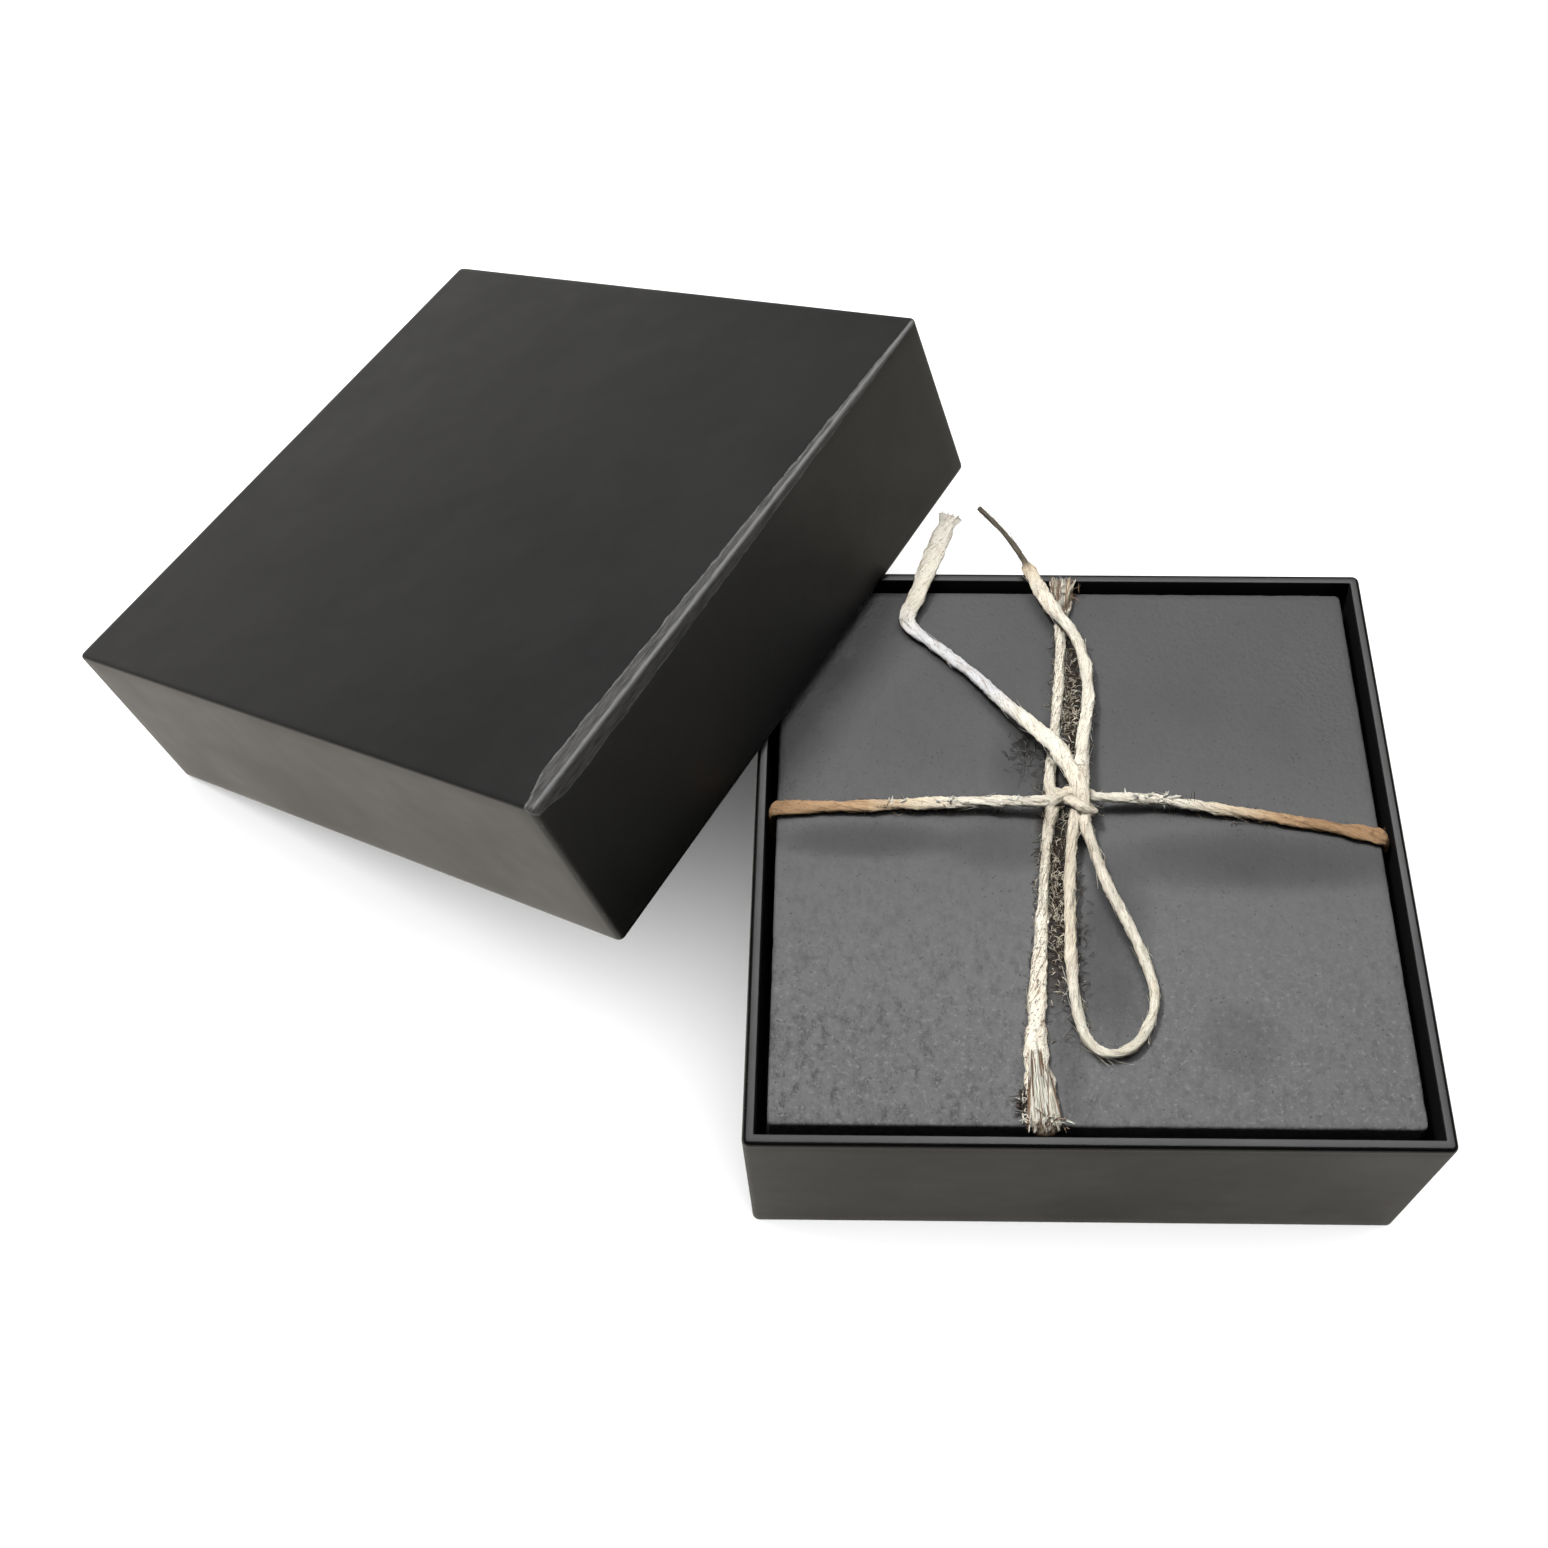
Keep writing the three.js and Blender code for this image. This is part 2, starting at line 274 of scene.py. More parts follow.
def stay_material():
    """Kraft paper tape that holds the board's corners, with long pale fibres."""
    m = Shading("kraft_stay", 0.75, 0.35)
    fibre = m.noise(m.stretch(m.place(), (500, 500, 2600)), 1, 5, 0.7)
    mottle = m.noise(m.place(), 160, 3)
    tone = m.blend(m.remap(fibre, 0.3, 0.7), (0.32, 0.2, 0.1, 1), (0.5, 0.35, 0.2, 1))
    tone = m.blend(m.times(mottle, 0.35), tone, (0.24, 0.15, 0.08, 1))
    m.set("Base Color", tone)
    m.set("Roughness", m.remap(mottle, 0.3, 0.7, 0.68, 0.85))
    m.relief((fibre, 0.00003))
    return m.material


def painted_twine_shadows(m, at, tone):
    """Soft dark marks painted on the slabs as the twine's shadows: below the crossing strand, in and
    beside the loop, and beside the knot and tails.
    """
    x, y, _ = m.split(at)
    # Each mark's middle, half sizes and strength
    marks = (
        (0.03, -0.0045, 0.024, 0.0048, 0.42),
        (-0.036, -0.001, 0.013, 0.003, 0.45),
        (-0.012, -0.002, 0.01, 0.004, 0.3),
        (0.0035, -0.024, 0.0062, 0.012, 0.42),
        (0.006, -0.013, 0.005, 0.007, 0.25),
        (-0.004, -0.02, 0.003, 0.03, 0.3),
        (0.0, 0.026, 0.004, 0.02, 0.3),
        (-0.0085, 0.014, 0.005, 0.008, 0.3),
        (0.024, -0.037, 0.0058, 0.0056, 0.2),
    )
    for across, along, half_across, half_along, depth in marks:
        dx = m.math("DIVIDE", m.minus(x, across), half_across)
        dy = m.math("DIVIDE", m.minus(y, along), half_along)
        far = m.plus(m.times(dx, dx), m.times(dy, dy))
        tone = m.blend(m.remap(far, 2.2, 0.0, 0.0, depth * 1.5), tone, grey(0.022))
    return tone


def brown_patches(m, at, tone):
    """Ragged dark brown patches on the slab's face between the strands."""
    x, y, _ = m.split(at)
    stray = m.noise(at, 520, 4, 0.7)
    x = m.plus(x, m.math("MULTIPLY_ADD", stray, 0.003, -0.0015))
    # Each patch's middle, half sizes, slant and strength
    patches = (
        (-0.0046, -0.013, 0.0016, 0.015, 0.09, 0.95),
        (0.0003, 0.0265, 0.0014, 0.0125, 0.01, 0.95),
        (-0.0056, 0.007, 0.0012, 0.006, 0.0, 0.4),
    )
    for across, along, half_across, half_along, slant, depth in patches:
        dy = m.minus(y, along)
        dx = m.minus(m.minus(x, across), m.times(dy, slant))
        dx = m.math("DIVIDE", dx, half_across)
        dy = m.math("DIVIDE", dy, half_along)
        far = m.math("MAXIMUM", m.math("ABSOLUTE", dx), m.math("ABSOLUTE", dy))
        tone = m.blend(m.remap(far, 1.4, 0.8, 0.0, depth), tone, (0.022, 0.015, 0.011, 1))
    return tone


def slate_material():
    """Dark grey slab: fine grain, soft mottling, a rougher, paler front left quarter, and painted shade
    that darkens it towards the back and beside the twine.
    """
    m = Shading("slate", 0.5, 0.32)
    at = m.place()
    x, y, _ = m.split(at)
    grain = m.noise(at, 1500, 4, 0.75)
    pores = m.cells(at, 1150)
    mottle = m.noise(at, 95, 5, 0.6)
    cloud = m.noise(at, 22, 3, 0.5)
    tone = m.blend(m.remap(mottle, 0.3, 0.72), grey(0.098), grey(0.138))
    tone = m.blend(m.remap(grain, 0.34, 0.7, 0, 0.5), tone, grey(0.15))
    # Darker towards the back: painted shade that stands in for the overhead reflection fading off.
    tone = m.blend(m.remap(y, -0.03, 0.03, 0.0, 0.72), tone, grey(0.045))
    stain = m.noise(m.stretch(at, shift=(0.31, 0.12, 0)), 30, 2, 0.4)
    tone = m.blend(m.remap(stain, 0.64, 0.72, 0, 0.3), tone, grey(0.06))
    pitted = m.remap(m.noise(at, 420, 3, 0.6), 0.5, 0.62, 0.15, 0.85)
    tone = m.blend(m.times(m.remap(pores, 0.3, 0.1), pitted), tone, grey(0.035))
    leather = m.noise(m.stretch(at, (1, 0.6, 1), (0.07, 0.21, 0)), 640, 5, 0.8)
    front_left = m.times(m.remap(y, 0.0, -0.05, 0.3, 1.0), m.remap(x, 0.01, -0.03, 0.55, 1.0))
    veined = m.times(m.remap(leather, 0.44, 0.68, 0, 1.0), front_left)
    tone = m.blend(veined, tone, grey(0.045))
    raised = m.noise(m.stretch(at, shift=(0.4, 0.1, 0)), 1000, 4, 0.8)
    flecked = m.times(m.remap(raised, 0.52, 0.7), m.remap(y, 0.0, -0.045))
    tone = m.blend(flecked, tone, grey(0.2))
    # The twine's painted shadows go onto the slab's colour here.
    m.set("Base Color", brown_patches(m, at, painted_twine_shadows(m, at, tone)))
    sheen = m.plus(m.remap(mottle, 0.3, 0.7, 0.44, 0.56), m.times(cloud, 0.05))
    m.set("Roughness", sheen)
    m.relief((cloud, 0.0006), (mottle, 0.00012), (leather, 0.0001), (pores, 0.00004), (grain, 0.00005))
    return m.material


def jute_material(name, dirt):
    """Plant-fibre twine: its colour rides on the mesh, streaked and speckled along the fibres."""
    m = Shading(name, 0.82, 0.25)
    fibre = m.attribute("fibre")
    tint = m.node("ShaderNodeAttribute", attribute_name="tint").outputs["Color"]
    streak = m.noise(m.stretch(fibre, (5, 5, 0.35)), 1, 4, 0.65)
    fine = m.noise(m.stretch(fibre, (13, 13, 1.1)), 1, 3, 0.7)
    blotch = m.noise(m.stretch(fibre, (0.8, 0.8, 0.45)), 1, 3, 0.6)
    streaked = m.remap(streak, 0.5, 0.66, 0, 0.35 + 0.6 * dirt)
    tone = m.blend(streaked, tint, (0.42, 0.32, 0.22, 1), "MULTIPLY")
    tone = m.blend(m.remap(blotch, 0.5, 0.75, 0, 0.4), tone, (0.72, 0.6, 0.45, 1), "MULTIPLY")
    tone = m.blend(m.remap(fine, 0.6, 0.8, 0, 0.5), tone, (0.95, 0.92, 0.84, 1))
    specks = m.noise(m.stretch(fibre, (3.4, 3.4, 1.6)), 1, 4, 0.75)
    speckled = m.remap(specks, 0.6 - 0.06 * dirt, 0.68 - 0.05 * dirt, 0, 0.4 + 0.5 * dirt)
    tone = m.blend(speckled, tone, (0.1, 0.065, 0.035, 1))
    m.set("Base Color", tone)
    m.set("Roughness", m.remap(streak, 0.3, 0.7, 0.72, 0.9))
    m.relief((streak, 0.00034), (fine, 0.00018), (specks, 0.0002))
    return m.material


JUTE = jute_material("jute", 0.5)
ROUGH_JUTE = jute_material("jute_rough", 1.1)
SLATE = slate_material()


# Meshes


class Build:
    """Points, faces and named values gathered for one mesh."""

    def __init__(self):
        self.points, self.faces, self.values, self.total = [], [], {}, 0

    def add(self, points, faces, **values):
        for face in faces:
            self.faces.append([i + self.total for i in face])
        self.points.append(np.asarray(points, float))
        for name, value in values.items():
            self.values.setdefault(name, []).append(np.asarray(value, float))
        self.total += len(points)

    def make(self, name, material, body, replaced=()):
        """The finished object in metres, tied to its body, with the CAD nodes it replaces hidden."""
        mesh = bpy.data.meshes.new(name)
        mesh.from_pydata((np.concatenate(self.points) * MM).tolist(), [], self.faces)
        for key, parts in self.values.items():
            rows = np.concatenate(parts)
            kind, field = "FLOAT_VECTOR", "vector"
            if key == "tint":
                rows = np.column_stack([rows, np.ones(len(rows))])
                kind, field = "FLOAT_COLOR", "color"
            stored = mesh.attributes.new(key, kind, "POINT")
            stored.data.foreach_set(field, rows.astype(np.float32).ravel())
        shape = bmesh.new()
        shape.from_mesh(mesh)
        bmesh.ops.recalc_face_normals(shape, faces=shape.faces)
        shape.to_mesh(mesh)
        shape.free()
        mesh.shade_smooth()
        mesh.materials.append(material)
        made = shown(name, mesh)
        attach(made, body)
        if replaced:
            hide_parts(*replaced)
        return made


def ring_faces(rings, around):
    """Quads that join rings of points, and a fan to one last point at each end."""
    faces = []
    for i in range(rings - 1):
        for j in range(around):
            a, b = i * around + j, i * around + (j + 1) % around
            faces.append((a, b, b + around, a + around))
    start, end = rings * around, rings * around + 1
    last = (rings - 1) * around
    for j in range(around):
        faces.append((start, (j + 1) % around, j))
        faces.append((end, last + j, last + (j + 1) % around))
    return faces


def ripple(point, scale, seed):
    """Smooth noise between about -1 and 1 with bumps of that size."""
    return noise.noise(Vector(point) / scale + Vector((seed * 7.3, seed * 3.1, seed * 11.9)))


# Twine


def along_line(line):
    """The distance from a line's start to each of its points."""
    return np.concatenate([[0], np.cumsum(np.linalg.norm(np.diff(line, axis=0), axis=1))])


def resample(points, step):
    """The same line with its points step apart."""
    points = np.asarray(points, float)
    along = along_line(points)
    count = max(3, int(round(along[-1] / step)) + 1)
    at = np.linspace(0, along[-1], count)
    return np.stack([np.interp(at, along, points[:, k]) for k in range(3)], axis=1)


def soften(points, rounds):
    """Rounds off the corners of a finely divided line, and keeps its ends."""
    points = points.copy()
    for _ in range(rounds):
        points[1:-1] = points[1:-1] / 2 + (points[:-2] + points[2:]) / 4
    return points


def flowing(points, step=0.4):
    """A smooth line through its points."""
    p = np.asarray(points, float)
    p = np.vstack([2 * p[0] - p[1], p, 2 * p[-1] - p[-2]])
    line = []
    for a, b, c, d in zip(p[:-3], p[1:-2], p[2:-1], p[3:]):
        for t in np.linspace(0, 1, 24, endpoint=False):
            slope = (c - a) * t
            curve = (2 * a - 5 * b + 4 * c - d) * t**2
            swing = (3 * b - a - 3 * c + d) * t**3
            line.append(0.5 * (2 * b + slope + curve + swing))
    line.append(p[-2])
    return resample(line, step)


def directions(line):
    """The unit direction of a line at each of its points."""
    ahead = np.gradient(line, axis=0)
    return ahead / np.linalg.norm(ahead, axis=1)[:, None]


def between_stops(along, stops):
    """The value or colour at each distance, from (share of the length, value) stops.

    Before the first stop and after the last one the value stays the same.
    """
    share = along / along[-1]
    at = [stop for stop, _ in stops]
    values = np.array([value for _, value in stops], float)
    if values.ndim == 1:
        return np.interp(share, at, values)
    return np.stack([np.interp(share, at, column) for column in values.T], axis=1)


# Fibre colours
CREAM = (0.8, 0.72, 0.58)
PALE = (0.88, 0.83, 0.71)
WHITE = (0.72, 0.72, 0.73)
SAND = (0.64, 0.53, 0.38)
TAN = (0.38, 0.235, 0.125)
BROWN = (0.075, 0.05, 0.032)
DARK = (0.032, 0.024, 0.018)
ASH = (0.24, 0.23, 0.22)
BRIGHT = (0.95, 0.91, 0.79)
UP = np.array([0, 0, 1.0])


def strand(build, line, width, depth, tints, seed, across=None, ply=0.1):
    """One lightly twisted strand: half widths and half depths along it, and fibre ridges."""
    sides, pitch = 20, 26
    ahead = directions(line)
    along = along_line(line)
    side = np.cross(UP, ahead) if across is None else across - (ahead @ across)[:, None] * ahead
    side /= np.linalg.norm(side, axis=1)[:, None]
    up = np.cross(ahead, side)
    half_width = between_stops(along, width)
    half_depth = between_stops(along, depth)
    points, fibre = [], []
    angles = np.linspace(0, 2 * np.pi, sides, endpoint=False)
    for i, centre in enumerate(line):
        turn = 2 * np.pi * along[i] / pitch + seed
        # Lumps along it, a groove between its two plies, and ridges that turn with them
        lump = 1 + 0.2 * noise.noise(Vector((along[i] * 0.4, seed * 5.1, 0)))
        lump += 0.12 * noise.noise(Vector((along[i] * 1.3, seed * 2.1, 4)))
        for angle in angles:
            local = angle - turn
            groove = (1 - abs(math.cos(local))) ** 1.6
            facing = Vector((math.cos(local), math.sin(local), 0))
            spot = facing * 2.2 + Vector((0, 0, along[i] * 0.16 + seed * 9))
            ridge = noise.noise(spot) * 0.24 + noise.noise(spot * 2.6) * 0.15
            ridge += noise.noise(facing * 3.1 + Vector((0, 0, along[i] * 0.95 + seed * 4))) * 0.15
            reach = lump * (1 - ply * groove + ridge / max(1.0, half_width[i] ** 1.5))
            points.append(
                centre
                + side[i] * math.cos(angle) * half_width[i] * reach
                + up[i] * math.sin(angle) * half_depth[i] * reach
            )
            fibre.append((math.cos(local), math.sin(local), along[i] + seed * 31))
    points += [line[0] - ahead[0] * 0.1, line[-1] + ahead[-1] * 0.1]
    fibre += [(0, 0, seed * 31), (0, 0, along[-1] + seed * 31)]
    shade = between_stops(along, tints)
    tint = np.vstack([np.repeat(shade, sides, axis=0), shade[:1], shade[-1:]])
    build.add(points, ring_faces(len(line), sides), fibre=fibre, tint=tint)
    return side, up, half_width, half_depth, along


def hair(build, points, radius, colour, seed):
    """A single fibre: a thin three-sided tube that tapers to both ends."""
    line = np.asarray(points, float)
    ahead = directions(line)
    side = np.cross(ahead, (0.3, 0.5, 0.81))
    side /= np.maximum(np.linalg.norm(side, axis=1), 1e-6)[:, None]
    up = np.cross(side, ahead)
    made, fibre = [], []
    for i, centre in enumerate(line):
        thin = radius * (0.35 + 0.65 * math.sin(math.pi * (i + 0.5) / len(line)))
        for k in range(3):
            angle = 2 * math.pi * k / 3
            made.append(centre + (side[i] * math.cos(angle) + up[i] * math.sin(angle)) * thin)
            fibre.append((math.cos(angle) * radius, math.sin(angle) * radius, i * 0.1 + seed))
    made += [line[0] - ahead[0] * radius, line[-1] + ahead[-1] * radius]
    fibre += [(0, 0, seed), (0, 0, seed + 1)]
    tint = np.tile(np.clip(colour, 0, 0.9), (len(made), 1))
    build.add(made, ring_faces(len(line), 3), fibre=fibre, tint=tint)


def wisps(build, line, frames, tints, per_mm, rng, reach=0.8, keep=None):
    """Loose fibres that leave a strand's surface and lie back along it."""
    side, up, half_width, half_depth, along = frames
    ahead = directions(line)
    shade = between_stops(along, tints)
    for _ in range(int(along[-1] * per_mm)):
        i = int(rng.integers(2, len(line) - 3))
        angle = rng.uniform(-0.5, math.pi + 0.5)
        length = rng.uniform(1.2, 4.5)
        lift = rng.uniform(0.15, reach)
        way = rng.choice([-1, 1])
        swing = rng.uniform(-0.7, 0.7)
        if keep is not None and not keep(line[i]):
            continue
        out = side[i] * math.cos(angle) + up[i] * math.sin(angle)
        start = (
            line[i]
            + side[i] * math.cos(angle) * half_width[i] * 0.92
            + up[i] * math.sin(angle) * half_depth[i] * 0.92
        )
        sweep = np.cross(ahead[i], out)
        points = []
        for t in np.linspace(0, 1, 6):
            curl = math.sin(t * 2.2 + swing) - math.sin(swing)
            points.append(
                start
                + ahead[i] * way * length * t
                + out * lift * t**1.4
                + sweep * swing * curl * length * 0.3
            )
        points = np.array(points)
        lowest = STACK_TOP + 0.08
        over_slab = np.abs(points[:, :2]).max(axis=1) < SLAB_SIDE / 2
        points[over_slab, 2] = np.maximum(points[over_slab, 2], lowest)
        tone = shade[i] * rng.uniform(0.75, 1.1)
        hair(build, points, rng.uniform(0.03, 0.055), tone, rng.uniform(0, 50))


LOOP = [
    (-1.1, 0.8, 40.8), (-1.7, -4.3, 40.4), (-2.3, -11.7, 39.9), (-2.6, -22.0, 39.4),
    (-2.5, -28.8, 39.2), (-1.6, -35.3, 39.1), (0.2, -38.6, 39.1), (3.0, -39.6, 39.1),
    (6.2, -38.4, 39.1), (8.8, -35.2, 39.1), (10.3, -30.8, 39.2), (10.0, -26.5, 39.3),
    (8.3, -20.7, 39.5), (5.8, -14.4, 39.8), (3.6, -9.0, 40.1), (2.1, -3.6, 40.5), (0.9, 0.8, 40.8),
]
LEFT_TAIL = [
    (-2.0, 12.5, 42.2), (-3.4, 15.8, 41.8), (-5.9, 18.8, 41.3), (-8.5, 21.9, 40.8),
    (-11.3, 25.0, 40.3), (-17.0, 31.9, 39.6), (-22.0, 36.9, 39.2), (-26.3, 40.7, 39.2),
    (-28.4, 43.2, 39.3), (-28.2, 46.0, 39.5), (-26.9, 48.6, 39.8), (-25.4, 53.0, 40.2),
    (-23.5, 58.3, 40.5), (-21.8, 62.6, 40.8), (-20.2, 66.7, 41.0),
]
RIGHT_TAIL = [
    (0.7, 11.3, 42.1), (1.1, 14.0, 41.9), (1.7, 18.5, 41.3), (2.7, 23.8, 40.6), (3.2, 29.5, 40.3),
    (2.6, 36.1, 40.4), (1.0, 40.8, 40.6), (-1.4, 44.4, 40.7), (-3.5, 48.3, 40.6),
    (-5.2, 52.6, 40.5), (-7.2, 57.4, 40.6), (-9.9, 62.1, 40.9), (-12.3, 65.4, 41.0),
    (-14.9, 68.5, 41.2),
]


def loose_twine(name, route, width, depth, tints, seed, per_mm, frayed=None):
    """A free length of twine.

    Width, depth (half sizes) and tints are stops: (share of the length, value). Per_mm is how many
    loose fibres it has for each millimetre.
    """
    rng = np.random.default_rng(seed)
    line = flowing(route)
    build = Build()
    frames = strand(build, line, width, depth, tints, seed)
    wisps(build, line, frames, tints, per_mm, rng)
    if frayed:
        frayed(build, line, rng)
    made = build.make(name + "_yarn", JUTE, "pack", [name])


def fanned_end(build, line, rng):
    """Fibres that fan out of a strand's cut end."""
    spread = 1.8
    ahead = directions(line)[-1]
    side = np.cross(UP, ahead)
    for k in range(34):
        share = rng.uniform(-1, 1)
        start = line[-8] + side * share * spread * 0.7 + UP * rng.uniform(-0.25, 0.25)
        reach = 0.9 * rng.uniform(0.55, 1.0)
        away = side * share * spread * rng.uniform(0.3, 0.8) + UP * rng.uniform(-0.3, 0.5)
        points = [start + ahead * (2.6 + reach) * t + away * t * t for t in np.linspace(0, 1, 6)]
        hair(build, points, 0.07 * rng.uniform(0.7, 1.3), PALE, k)


loose_twine(
    "twine_loop",
    LOOP,
    width=[(0, 0.85), (0.15, 1.0), (0.3, 0.95), (0.42, 0.82), (0.6, 0.85), (0.85, 0.95), (1, 0.85)],
    depth=[(0, 0.75)],
    tints=[(0.25, CREAM), (0.35, PALE), (0.5, (0.84, 0.8, 0.66)), (0.8, PALE), (1, CREAM)],
    seed=1,
    per_mm=0.9,
)
loose_twine(
    "twine_tail_left",
    LEFT_TAIL,
    width=[
        (0, 1.75), (0.12, 1.5), (0.25, 1.3), (0.45, 1.05), (0.56, 1.15), (0.63, 1.5), (0.8, 1.75), (1, 2)
    ],
    depth=[(0, 0.85), (0.2, 0.75), (0.55, 0.65), (0.62, 0.45), (1, 0.3)],
    # Towards its end the tint is brighter: painted light that offsets the lid's shade falling there.
    tints=[
        (0.16, PALE), (0.3, WHITE), (0.57, WHITE), (0.68, (0.8, 0.74, 0.62)), (0.8, PALE),
        (1, (0.9, 0.86, 0.76)),
    ],
    seed=2,
    per_mm=0.35,
    frayed=fanned_end,
)
loose_twine(
    "twine_tail_right",
    RIGHT_TAIL,
    width=[
        (0, 1.15), (0.12, 1.25), (0.3, 1.05), (0.48, 1.05), (0.58, 1.35), (0.72, 1.4), (0.745, 1.2),
        (0.76, 0.5), (1, 0.45),
    ],
    depth=[(0, 0.8), (0.6, 0.75), (0.72, 0.7), (0.76, 0.5), (1, 0.45)],
    # The far end is tinted dark brown: painted shade for the tail's shadowed side.
    tints=[
        (0.55, PALE), (0.7, CREAM), (0.73, SAND), (0.76, (0.16, 0.135, 0.1)),
        (1, (0.13, 0.11, 0.085)),
    ],
    seed=3,
    per_mm=0.9,
)

ACROSS = [
    (-6.1, 5.2, 40.9), (-13.2, 5.5, 40.2), (-25.1, 5.6, 39.3), (-38.7, 5.1, 38.8),
    (-STRAND_SIDE, 4.7, STRAND_TOP), (-STRAND_SIDE, 4.7, UNDER_ACROSS),
    (STRAND_SIDE, -0.2, UNDER_ACROSS), (STRAND_SIDE, -0.2, STRAND_TOP), (42.7, 1.8, 38.8),
    (32.7, 3.6, 38.8), (20.9, 5.4, 39.3), (12.4, 6.3, 40.0), (2.1, 6.2, 40.9),
]
LENGTHWISE = [
    (-5.2, 0.5, STRAND_TOP), (-6.2, -7.8, STRAND_TOP), (-7.3, -19.6, STRAND_TOP),
    (-8.5, -30.7, STRAND_TOP), (-9.1, -39.4, STRAND_TOP), (-8.1, -STRAND_SIDE, STRAND_TOP),
    (-8.1, -STRAND_SIDE, UNDER_LENGTHWISE), (0.6, STRAND_SIDE, UNDER_LENGTHWISE),
    (0.6, STRAND_SIDE, STRAND_TOP), (-0.7, 41.9, STRAND_TOP), (-1.9, 28.6, STRAND_TOP),
    (-4.1, 12.5, STRAND_TOP),
]
# Where each strand's ends lie in the knot
ACROSS_ENDS = (-1.0, 5.6, 41.6), (-1.5, 6.0, 41.5)
LENGTHWISE_ENDS = (-4.7, 3.4, 39.6), (-4.5, 9.6, 39.4)


def in_the_open(point):
    """Whether loose fibres at this point lie on the top slab, clear of the tray's walls."""
    return point[2] > STACK_TOP + 0.3 and max(abs(point[0]), abs(point[1])) < CLEAR_REACH


def wrapped_twine(name, route, ends, width, depth, tints, seed, across, per_mm, ply, material, extra=None):
    """A strand drawn tight round the stack, with rounded bends and its width along across."""
    rng = np.random.default_rng(seed)
    line = resample(soften(resample([ends[0], *route, ends[1]], 0.3), 14), 0.4)
    build = Build()
    frames = strand(build, line, width, depth, tints, seed, across, ply)
    wisps(build, line, frames, tints, per_mm, rng, 0.7, in_the_open)
    if extra:
        extra(build, rng)
    return build.make(name + "_yarn", material, "pack", [name])


def tuft(build, rng, place, spread, count, length, colour, toward=(0, 0, 0), radius=0.05):
    """A fuzzy clump of short fibres about a place."""
    for k in range(count):
        start = place + rng.normal(0, 1, 3) * spread
        start[2] = max(start[2], STACK_TOP + 0.1)
        way = rng.normal(0, 1, 3) * (1, 1, 0.45) + toward
        way /= np.linalg.norm(way)
        bend = rng.normal(0, 0.5, 3)
        reach = length * rng.uniform(0.5, 1.2)
        points = np.array([start + way * reach * t + bend * t * t for t in np.linspace(0, 1, 6)])
        points[:, 2] = np.maximum(points[:, 2], FIBRE_REST)
        shade = np.array(colour) * rng.uniform(0.6, 1.25)
        hair(build, points, radius * rng.uniform(0.7, 1.4), shade, k)


def brush(build, rng, root, tip, spreads, count, colours, radius):
    """A flat sheaf of fibres from a narrow root to a wide ragged tip."""
    root = np.array(root, float)
    reach = tip - root
    side = np.cross(UP, reach / np.linalg.norm(reach))
    for k in range(count):
        share = rng.uniform(-1, 1)
        start, stop = 0.75 * math.sqrt(rng.uniform(0, 1)), rng.uniform(0.85, 1.06)
        sway, lift = rng.normal(0, 0.25), rng.uniform(-0.15, 0.3)
        points = []
        for t in np.linspace(start, stop, 7):
            out = share * (spreads[0] + (spreads[1] - spreads[0]) * t * t) + sway * math.sin(4 * t + k)
            points.append(root + reach * t + side * out + UP * (lift + 0.35 * (1 - share * share)))
        colour = np.array(colours[k % len(colours)]) * rng.uniform(0.75, 1.1)
        hair(build, points, radius * rng.uniform(0.6, 1.4), colour, k)


def across_slubs(build, rng):
    """Knobbly tufts along the strand that crosses the stack."""
    places = ((-31, 5.4, 39.4), (-22, 5.6, 39.9), (-10, 5.4, 40.7), (9, 6.3, 40.6), (15, 6.2, 40.2))
    for x, y, z in places:
        tuft(build, rng, (x, y + 0.1, z + 0.2), (1.2, 0.12, 0.1), 9, 0.5, BRIGHT, (9, 0, 0), 0.24)
        tuft(build, rng, (x + 2, y - 0.6, z - 0.4), (2.6, 0.2, 0.2), 40, 0.7, BROWN, (2, 0, 0), 0.07)
    tuft(build, rng, (-50.2, 4.8, 38.9), (0.5, 0.5, 0.2), 26, 1.0, TAN)
    tuft(build, rng, (50.2, 0.1, 38.9), (0.5, 0.5, 0.2), 26, 1.0, TAN)


def frayed_ends():
    """Frayed sheaves where the lengthwise strand goes over the front and back of the stack."""
    rng = np.random.default_rng(8)
    build = Build()
    brown = (0.3, 0.2, 0.13)
    front, back = (-8.3, -51.6, 39.2), (0.2, 53.0, 39.4)
    pale_mix = (BRIGHT, BRIGHT, PALE, BRIGHT, brown)
    brush(build, rng, (-9.1, -36, 39.3), front, (1.2, 2.7), 120, pale_mix, 0.17)
    tuft(build, rng, (-8.3, -49.9, 39.3), (1.3, 0.6, 0.2), 50, 1.1, PALE, (0, -2, 0), 0.14)
    tuft(build, rng, (-11.0, -47.9, 38.7), (0.5, 1.2, 0.2), 80, 0.8, BROWN, (-0.5, 0, 0), 0.09)
    tuft(build, rng, (-10.9, -48.4, 39.0), (0.4, 0.8, 0.2), 24, 0.9, PALE, (0, 1.0, 0), 0.12)
    tuft(build, rng, (-8.0, -51.0, 39.3), (1.5, 0.4, 0.3), 60, 0.6, brown, (0, -0.2, 0), 0.11)
    brush(build, rng, (-0.9, 43.5, 39.5), back, (1.0, 2.3), 120, (BRIGHT, PALE, SAND, brown), 0.14)
    tuft(build, rng, (0.1, 50.0, 39.5), (1.3, 0.6, 0.2), 70, 1.1, brown, (0.1, 0.8, 0), 0.08)
    return build.make("twine_frayed_ends", JUTE, "pack")


frayed_ends()


